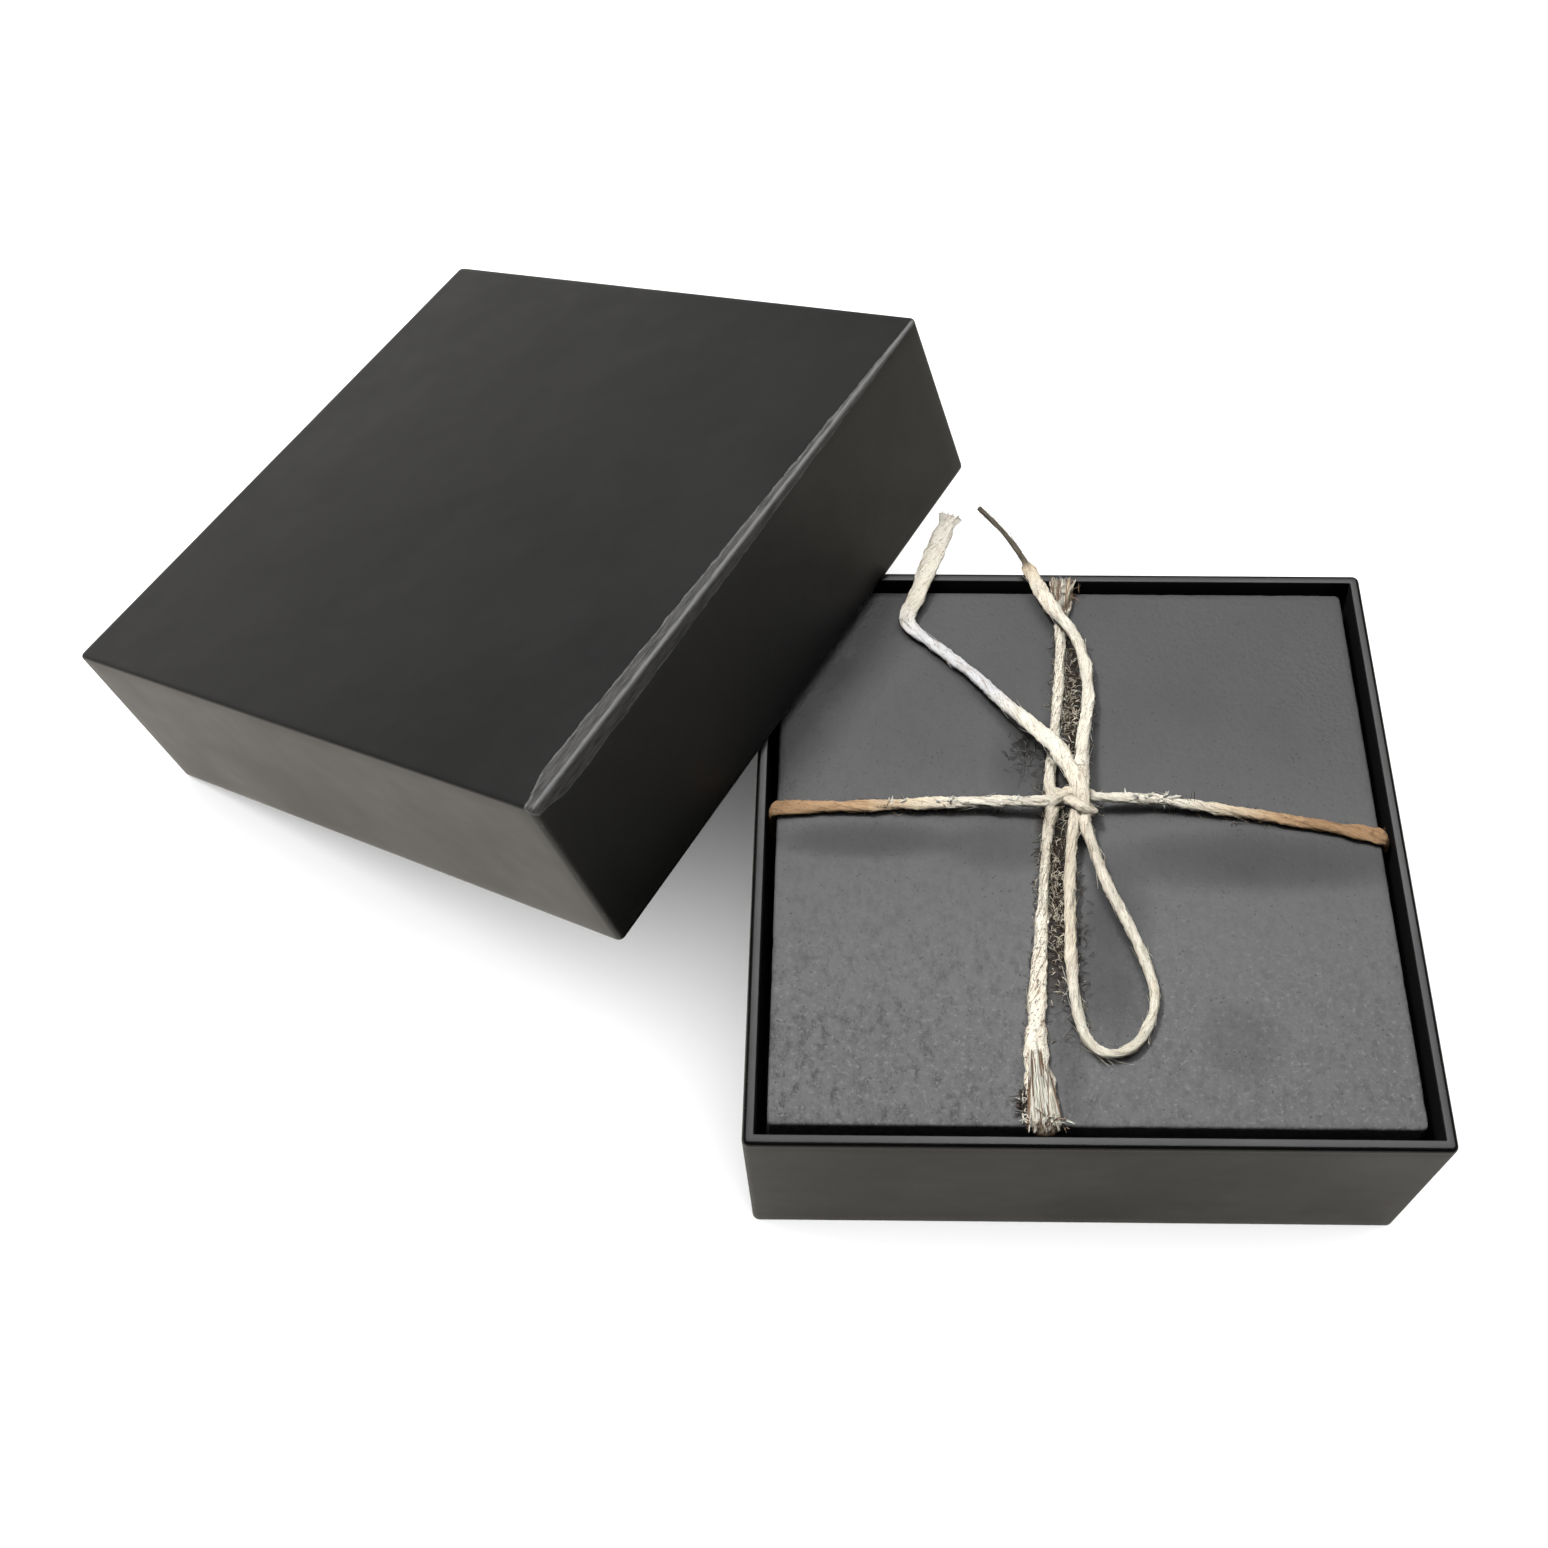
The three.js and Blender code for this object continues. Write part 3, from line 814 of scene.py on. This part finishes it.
LIGHT_TAN, MID_TAN = (0.76, 0.63, 0.45), (0.54, 0.36, 0.21)
wrapped_twine(
    "twine_across",
    ACROSS,
    ACROSS_ENDS,
    width=[
        (0, 1.0), (0.15, 1.1), (0.18, 1.45), (0.2, 1.0), (0.79, 1.0), (0.812, 1.5), (0.84, 1.2),
        (0.88, 1.05), (1, 1.0),
    ],
    depth=[(0, 0.7), (0.1, 0.68), (0.16, 0.62), (0.85, 0.62), (0.9, 0.68), (1, 0.7)],
    tints=[
        (0.07, PALE), (0.1, LIGHT_TAN), (0.13, MID_TAN), (0.175, TAN), (0.85, TAN),
        (0.875, MID_TAN), (0.9, LIGHT_TAN), (0.93, PALE),
    ],
    seed=4,
    across=(0, 1, 0),
    per_mm=0.5,
    ply=0.24,
    material=JUTE,
    extra=across_slubs,
)
wrapped_twine(
    "twine_lengthwise",
    LENGTHWISE,
    LENGTHWISE_ENDS,
    width=[
        (0, 0.8), (0.05, 0.9), (0.1, 1.3), (0.15, 1.75), (0.178, 2.4), (0.19, 2.3), (0.22, 1.0),
        (0.78, 1.0), (0.843, 1.7), (0.86, 1.5), (0.872, 1.15), (0.9, 0.92), (1, 0.9),
    ],
    depth=[(0, 0.62), (0.17, 0.7), (0.2, 0.6), (1, 0.62)],
    tints=[
        (0, CREAM), (0.06, PALE), (0.19, PALE), (0.2, CREAM), (0.21, TAN), (0.8, BROWN),
        (0.845, (0.3, 0.21, 0.16)), (0.856, (0.6, 0.49, 0.4)), (0.866, PALE),
    ],
    seed=5,
    across=(1, 0, 0),
    per_mm=0.9,
    ply=0.1,
    material=ROUGH_JUTE,
)

# The knot's runs, each with its half widths at the start, middle and end
RIGHT_OVER = [
    (-2.9, 14.6, 42.0), (-2.0, 12.5, 42.3), (-0.6, 9.3, 42.7), (0.5, 5.6, 42.4), (0.8, 2.6, 41.3),
    (1.0, 0.4, 40.8), (2.1, -3.6, 40.5), (2.9, -6.4, 40.3),
]
LEFT_OVER = [
    (1.1, 14.0, 41.8), (0.8, 11.3, 42.0), (0.9, 8.4, 41.7), (0.4, 5.0, 41.3), (-0.6, 2.4, 41.0),
    (-1.1, 0.4, 40.8), (-1.7, -4.3, 40.4), (-1.9, -7.0, 40.2),
]
BEHIND = [
    (-4.1, 13.6, 38.8), (-4.6, 9.6, 39.8), (-4.4, 6.6, 40.9), (-4.5, 3.6, 40.3), (-5.2, 0.2, 38.9),
    (-5.9, -4.6, 38.7),
]
TURN = [
    (-5.0, 8.6, 39.4), (-3.6, 7.0, 40.8), (-1.6, 5.0, 41.9), (0.4, 3.4, 42.4), (1.9, 3.2, 41.4),
    (2.3, 3.9, 39.9), (1.2, 4.4, 38.9),
]
CROSSING = [
    (-3.9, 3.4, 39.3), (-4.6, 4.6, 40.7), (-3.2, 5.6, 41.9), (-1.0, 6.4, 42.0), (1.4, 6.6, 41.4),
    (2.6, 6.9, 40.3),
]
KNOT_RUNS = (
    (RIGHT_OVER, 1.75, 1.3, 0.45),
    (LEFT_OVER, 1.15, 1.1, 0.45),
    (BEHIND, 0.7, 1.15, 0.45),
    (TURN, 0.8, 1.1, 0.8),
    (CROSSING, 0.85, 1.0, 0.85),
)


def knot():
    """The bow's knot: both tails run down into the loop's legs, bound by one turn."""
    rng = np.random.default_rng(6)
    build = Build()
    tints = [(0, PALE), (0.5, CREAM), (1, PALE)]
    for k, (run, start, middle, end) in enumerate(KNOT_RUNS):
        line = flowing(run, 0.35)
        width = [(0, start), (0.5, middle), (0.72, 0.75 * middle + 0.25 * end), (1, end)]
        depth = [(0, 0.8), (0.75, 0.75), (1, end * 0.9)]
        frames = strand(build, line, width, depth, tints, 20 + k)
        wisps(build, line, frames, tints, 1.2, rng, 0.6, in_the_open)
    tuft(build, rng, (-5.0, 4.0, 39.5), (1.0, 2.4, 0.4), 90, 1.6, BROWN)
    tuft(build, rng, (-4.6, 4.5, 40.2), (0.8, 1.8, 0.5), 50, 1.8, SAND)
    tuft(build, rng, (1.9, 5.2, 39.6), (0.8, 1.3, 0.5), 45, 1.6, SAND)
    tuft(build, rng, (-1.5, 3.0, 40.4), (1.6, 1.2, 0.5), 50, 1.5, CREAM)
    return build.make("twine_knot_yarn", JUTE, "pack", ["twine_knot"])


knot()


def lint_in_patches(build, rng):
    """Curled fibres trodden on the slab beside and between the strands."""
    # Each patch's middle, spread, number of fibres and their colour
    patches = (
        ((-4.1, -12), (0.75, 9.0), 420, BROWN),
        ((-4.4, -2), (0.9, 2.5), 200, BROWN),
        ((0.2, 26), (0.85, 7.5), 360, BROWN),
        ((0.1, 26), (0.7, 6.5), 260, CREAM),
        ((-4.5, -11), (0.8, 8.0), 300, CREAM),
        ((-7.4, 15.5), (1.8, 2.6), 45, ASH),
        ((-8.0, 17), (1.8, 2.8), 90, DARK),
        ((-0.6, -18), (0.5, 9.0), 90, BROWN),
    )
    for (x, y), (spread_x, spread_y), count, colour in patches:
        for k in range(count):
            at_x, at_y = rng.normal(x, spread_x), rng.normal(y, spread_y)
            heading = rng.uniform(0, 2 * math.pi)
            length = rng.uniform(0.6, 2.2)
            turn = rng.uniform(-1.6, 1.6)
            lift = rng.uniform(0.05, 0.5)
            points = []
            for t in np.linspace(0, 1, 6):
                angle = heading + turn * t
                at_x += math.cos(angle) * length / 6
                at_y += math.sin(angle) * length / 6
                points.append((at_x, at_y, FIBRE_REST + lift * math.sin(t * 3.1)))
            shade = np.array(colour) * rng.uniform(0.5, 1.3)
            thick = rng.uniform(0.03, 0.06) * (1.6 if colour is CREAM else 1.0)
            hair(build, points, thick, shade, k)


def lint_beside_twine(build, rng):
    """Short straight fibres on both sides of some stretches of twine."""
    # Each stretch's route, first and last point, distance and number of fibres
    stretches = (
        (LENGTHWISE, 0, 5, 1.1, 520),
        (LENGTHWISE, 9, 11, 1.0, 200),
        (LOOP, 0, 5, 1.1, 260),
        (RIGHT_TAIL, 0, 6, 1.2, 150),
        (ACROSS, 1, 3, 0.9, 120),
        (ACROSS, 9, 11, 0.9, 120),
    )
    for route, first, last, off, count in stretches:
        line = flowing(route[first : last + 1])
        ahead = directions(line)
        for k in range(count):
            i = int(rng.integers(0, len(line)))
            beside = np.cross(UP, ahead[i]) * rng.choice([-1, 1]) * rng.normal(off, 0.35)
            start = line[i] + beside
            heading = rng.uniform(0, 2 * math.pi)
            length = rng.uniform(0.4, 1.5)
            way = np.array([math.cos(heading), math.sin(heading), 0])
            points = np.array([start + way * length * t for t in np.linspace(0, 1, 5)])
            points[:, 2] = FIBRE_REST + rng.uniform(0, 0.35) * np.linspace(0, 1, 5)
            shade = np.array(DARK if rng.uniform() < 0.7 else SAND) * rng.uniform(0.6, 1.2)
            hair(build, points, rng.uniform(0.03, 0.055), shade, k)


def lint():
    """Dark and pale fibres shed on the top slab."""
    rng = np.random.default_rng(7)
    build = Build()
    lint_in_patches(build, rng)
    lint_beside_twine(build, rng)
    return build.make("twine_lint", JUTE, "pack")


lint()


# Slabs


def square_ring(side, inset, straight):
    """Points round a square with rounded corners, drawn in by inset from its full size."""
    half = side / 2 - inset
    radius = max(CORNER_RADIUS - inset, 0.15)
    run = half - radius
    bend = 4
    quarter = [(half, -run + 2 * run * i / straight) for i in range(straight)]
    for i in range(bend):
        angle = math.pi / 2 * i / bend
        quarter.append((run + radius * math.cos(angle), run + radius * math.sin(angle)))
    points = []
    for c, s in ((1, 0), (0, 1), (-1, 0), (0, -1)):
        points += [(x * c - y * s, x * s + y * c) for x, y in quarter]
    return np.array(points)


def level(ring, height):
    """A flat ring of points at that height."""
    return np.column_stack([ring, np.full(len(ring), height)])


# A slab's side from its top face to its underside: (inset, share of its thickness)
SLAB_EDGE = (
    (0.45, 1.0), (0.2, 0.985), (0.06, 0.93), (0.02, 0.8), (0.05, 0.62), (0.02, 0.42), (0.06, 0.22),
    (0.08, 0.08), (0.25, 0.015), (0.45, 0.0),
)
# How far out the rings of a slab's faces lie, from its middle
SEEN_FACE = (0.06, 0.13, 0.22, 0.34, 0.46, 0.58, 0.7, 0.8, 0.88, 0.94, 0.98)
HIDDEN_FACE = (0.5, 0.94)


def roughen(p, layer):
    """Draws a slab's edge in where it is chipped or worn, and unevens its faces."""
    out = max(abs(p[0]), abs(p[1])) / (SLAB_SIDE / 2)
    near_edge = max(0.0, (out - 0.985) / 0.015)
    chip = max(0.0, ripple(p, 2.2, layer) + 0.35 * ripple(p, 0.8, layer + 9) - 0.12)
    rough = 0.07 + 0.05 * ripple(p, 1.1, layer + 20)
    p[:2] *= 1 - near_edge * (0.5 * rough + 0.22 * chip) / (SLAB_SIDE / 2)
    rise = -0.035 + 0.03 * ripple(p, 18, layer + 40) - 0.12 * near_edge * chip
    p[2] += rise if p[2] > SLAB_THICKNESS / 2 else -rise


def slab(layer):
    """One square slab with an uneven, finely chipped edge and a gently uneven face."""
    top = layer == SLABS
    straight = 60 if top else 44
    rings = []
    edge = square_ring(SLAB_SIDE, SLAB_EDGE[0][0], straight)
    for share in SEEN_FACE if top else HIDDEN_FACE:
        rings.append(level(edge * share, SLAB_THICKNESS))
    for inset, share in SLAB_EDGE:
        ring = square_ring(SLAB_SIDE, inset, straight)
        rings.append(level(ring, share * SLAB_THICKNESS))
    for share in reversed(HIDDEN_FACE):
        rings.append(level(edge * share, 0))
    points = np.vstack(rings + [[[0, 0, SLAB_THICKNESS]], [[0, 0, 0]]])
    for p in points:
        roughen(p, layer)
    points[:, 2] += STACK_BOTTOM + (layer - 1) * SLAB_PITCH
    build = Build()
    build.add(points, ring_faces(len(rings), len(edge)))
    return build.make(f"slab_{layer}_stone", SLATE, "pack", [f"slab_{layer}"])


for number in range(1, SLABS + 1):
    slab(number)


# Box


def quarter_turn(steps, first=0):
    """(1 - sine, 1 - cosine) of angles round a quarter turn."""
    angles = [math.pi / 2 * i / steps for i in range(first, steps + 1)]
    return [(1 - math.sin(angle), 1 - math.cos(angle)) for angle in angles]


def shell_profile(height):
    """(inset, height) down the outside of a half box, over its rim and back inside the paper."""
    fold, rim, lip = 0.55, 0.8, 0.2
    outer = [(fold, 0.0)]
    outer += [(fold * a, fold * b) for a, b in quarter_turn(4, 1)]
    outer += [(0.0, fold + (height - fold - rim) * i / 12) for i in range(1, 12)]
    outer += [(rim * b, height - rim * a) for a, b in quarter_turn(5)]
    outer += [(WALL - lip * a, height - lip * b) for a, b in quarter_turn(4)]
    outer += [(WALL, height - lip - (TURN_IN - lip) * i / 5) for i in range(1, 6)]
    back = [
        (WALL - PAPER, height - TURN_IN), (WALL - PAPER, height - 1.2),
        (WALL - 0.24, height - 0.26), (1.5, height - PAPER), (0.66, height - PAPER),
        (0.34, height - 0.44), (PAPER, height - 1.2), (PAPER, height / 2), (PAPER, 1.0),
        (0.6, PAPER),
    ]
    return outer, back


def wrap(name, side, height, place, material, seed):
    """The wrapping paper of a half box: one closed sheet over its walls, rim and turn-in."""
    straight = 40
    outer, back = shell_profile(height)
    face = square_ring(side, outer[0][0], straight)
    rings = []
    for share in (0.08, 0.2, 0.34, 0.5, 0.64, 0.76, 0.86, 0.93, 0.97, 0.99):
        rings.append(level(face * share, 0))
    for inset, z in outer + back:
        ring = square_ring(side, inset, straight)
        rings.append(level(ring, z))
    inside = square_ring(side, back[-1][0], straight)
    for share in (0.93, 0.6, 0.2):
        rings.append(level(inside * share, PAPER))
    points = np.vstack(rings + [[[0, 0, 0]], [[0, 0, PAPER]]])
    shell = points.copy()
    for p in points:
        wave = 0.05 * ripple(p, 26, seed) + 0.015 * ripple(p, 5, seed + 3)
        near_rim = max(0.0, 1 - (height - p[2]) / 6)
        crease = 0.025 * near_rim * abs(ripple((p[0], p[1], 0), 9, seed + 5))
        swell = 0.4 * max(0.0, wave) if p[2] < 1 else 0.0
        p[:2] *= 1 - 0.006 * abs(wave)
        p[2] += swell - crease
    points[:, 2] = np.maximum(points[:, 2], 0.0)
    placed = np.array([place @ Vector(p) for p in points])
    build = Build()
    build.add(placed, ring_faces(len(rings), len(face)), shell=shell)
    return build.make(f"{name}_wrap_paper", material, name, [f"{name}_wrap"])


# The lid's paper is shaped like the tray's, then turned over, leant and set down on its lower edge
LID_PLACE = (
    Matrix.Translation(LID_EDGE)
    @ Matrix.Rotation(LID_TURN, 4, "Z")
    @ Matrix.Rotation(-LID_LEAN, 4, "Y")
    @ Matrix.Translation((LID_SIDE / 2, 0, LID_HEIGHT))
    @ Matrix.Rotation(math.pi, 4, "X")
)
BASE_WRAP = wrap_material("base_wrap_paper", TRAY_SIDE, TRAY_HEIGHT, False)
LID_WRAP = wrap_material("lid_wrap_paper", LID_SIDE, LID_HEIGHT, True)
wrap("base", TRAY_SIDE, TRAY_HEIGHT, Matrix.Identity(4), BASE_WRAP, 1)
wrap("lid", LID_SIDE, LID_HEIGHT, LID_PLACE, LID_WRAP, 2)


def finish_cad_nodes():
    """Materials for the CAD pieces that show as they are."""
    papers = {"lining": lining_material(), "stay": stay_material(), "board": greyboard_material()}
    for name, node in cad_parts.items():
        if node.hide_render:
            continue
        node.data.materials.clear()
        node.data.materials.append(next(papers[word] for word in papers if word in name))


finish_cad_nodes()


# Setting


def seen_glow(m):
    """Dim under the object, so that its shade shows, and white far away from it."""
    away = m.node("ShaderNodeVectorMath", {0: m.place()}, operation="LENGTH").outputs["Value"]
    return m.remap(away, 0.35, 1.1, 0.05, 1.0)


def mirrored_glow(m):
    """Brightest to the left, dim in the middle and a little brighter to the right and in front."""
    x, y, _ = m.split(m.place())
    left = m.remap(x, -0.125, -0.015, 1.0, 0.16)
    right = m.remap(x, 0.005, 0.06, 0.12, 0.3)
    # Dimmer close to the tray's front wall: painted shade for the contact shadow that the wall mirrors.
    front = m.remap(y, -0.056, -0.0665, 0.68, 1.0)
    beside_lid = m.remap(x, -0.062, -0.07)
    glow = m.times(m.math("MAXIMUM", left, right), m.math("MAXIMUM", beside_lid, front))
    return m.times(glow, 0.7)


def floor_plane(name, depth, colour, lit, glow):
    """A pale floor: lit is the share it takes from light, and glow the brightness of its own."""
    m = Shading(name, 0.8, 0.1)
    speckle = m.noise(m.place(), 40, 3)
    low = [c * lit * 0.985 for c in colour] + [1]
    high = [c * lit for c in colour] + [1]
    m.set("Base Color", m.blend(speckle, low, high))
    m.set("Emission Color", [*colour, 1])
    m.set("Emission Strength", glow(m))
    mesh = bpy.data.meshes.new(name)
    reach = 4.0
    corners = [(-reach, -reach, 0), (reach, -reach, 0), (reach, reach, 0), (-reach, reach, 0)]
    mesh.from_pydata(corners, [], [(0, 1, 2, 3)])
    mesh.materials.append(m.material)
    made = shown(name, mesh)
    made.location.z = -depth
    made.visible_shadow = False
    made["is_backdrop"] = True
    return made


def floors():
    """One floor for the eye and for soft light, and a warmer one for what glossy paper mirrors."""
    seen = floor_plane("floor", 0.00005, (1, 1, 1), 0.9, seen_glow)
    seen.visible_glossy = False
    mirrored = floor_plane("floor_mirrored", 0.00006, (1.0, 0.95, 0.86), 0.62, mirrored_glow)
    mirrored.visible_camera = False
    mirrored.visible_diffuse = False
    return [seen, mirrored]


def softbox(name, azimuth, elevation, distance, size, radiance, receivers, mirrored=False):
    """A panel that sheds diffuse light on its receivers, or only shows in their gloss if mirrored.

    The azimuth goes round from the front through the right to the back.
    """
    data = bpy.data.lights.new(name, "AREA")
    data.shape = "RECTANGLE"
    data.size, data.size_y = size
    data.energy = radiance * math.pi * size[0] * size[1]
    light = shown(name, data)
    a, e = math.radians(azimuth), math.radians(elevation)
    back = Vector((math.sin(a) * math.cos(e), -math.cos(a) * math.cos(e), math.sin(e)))
    light.location = Vector((-0.03, 0.01, 0.03)) + back * distance
    light.rotation_mode = "QUATERNION"
    light.rotation_quaternion = (-back).to_track_quat("-Z", "Y")
    light.visible_glossy = mirrored
    light.visible_diffuse = not mirrored
    light.visible_camera = False
    light.light_linking.receiver_collection = receivers


def surroundings():
    """A dim grey room, lighter behind to the left, that the camera sees as white."""
    world = bpy.data.worlds.new("studio")
    bpy.context.scene.world = world
    world.use_nodes = True
    world.node_tree.nodes.clear()
    n = Nodes(world.node_tree)
    direction = n.node("ShaderNodeTexCoord").outputs["Generated"]
    back_left = Vector((-0.8, 0.6, 0.05)).normalized()
    toward = n.node("ShaderNodeVectorMath", {0: direction, 1: back_left}, operation="DOT_PRODUCT")
    brightness = n.remap(toward.outputs["Value"], 0.1, 1.0, 0.03, 0.14)
    room = n.node("ShaderNodeBackground", {"Color": brightness}).outputs[0]
    white = n.node("ShaderNodeBackground", {"Color": (1, 1, 1, 1)}).outputs[0]
    is_seen = n.node("ShaderNodeLightPath").outputs["Is Camera Ray"]
    pick = n.node("ShaderNodeMixShader", {0: is_seen, 1: room, 2: white})
    n.node("ShaderNodeOutputWorld", {"Surface": pick.outputs[0]})


def group_of(name, objects):
    group = bpy.data.collections.new(name)
    for o in objects:
        group.objects.link(o)
    return group


def studio():
    """Mirrored panels, a key from the left rear and softer fills for the object, a dome for the floor."""
    surroundings()
    things = group_of("lit_things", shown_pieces())
    twine = group_of("lit_twine", [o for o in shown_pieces() if o.data.materials[0] in (JUTE, ROUGH_JUTE)])
    ground = group_of("lit_floor", floors())
    softbox("overhead_mirror", 156, 68, 0.9, (0.8, 0.7), 5.2, things, mirrored=True)
    softbox("rear_strip", 218, 3, 1.1, (1.0, 0.2), 0.8, things, mirrored=True)
    softbox("key", 232, 60, 1.0, (0.17, 0.17), 122, things)
    softbox("twine_light", 190, 75, 0.9, (0.5, 0.5), 7.5, twine)
    softbox("fill", 200, 78, 1.2, (1.2, 1.2), 0.6, things)
    softbox("floor_dome", 0, 90, 0.9, (2.6, 2.6), 2.6, ground)


studio()
bpy.context.scene.view_settings.view_transform = "Standard"
bpy.context.scene.view_settings.look = "None"
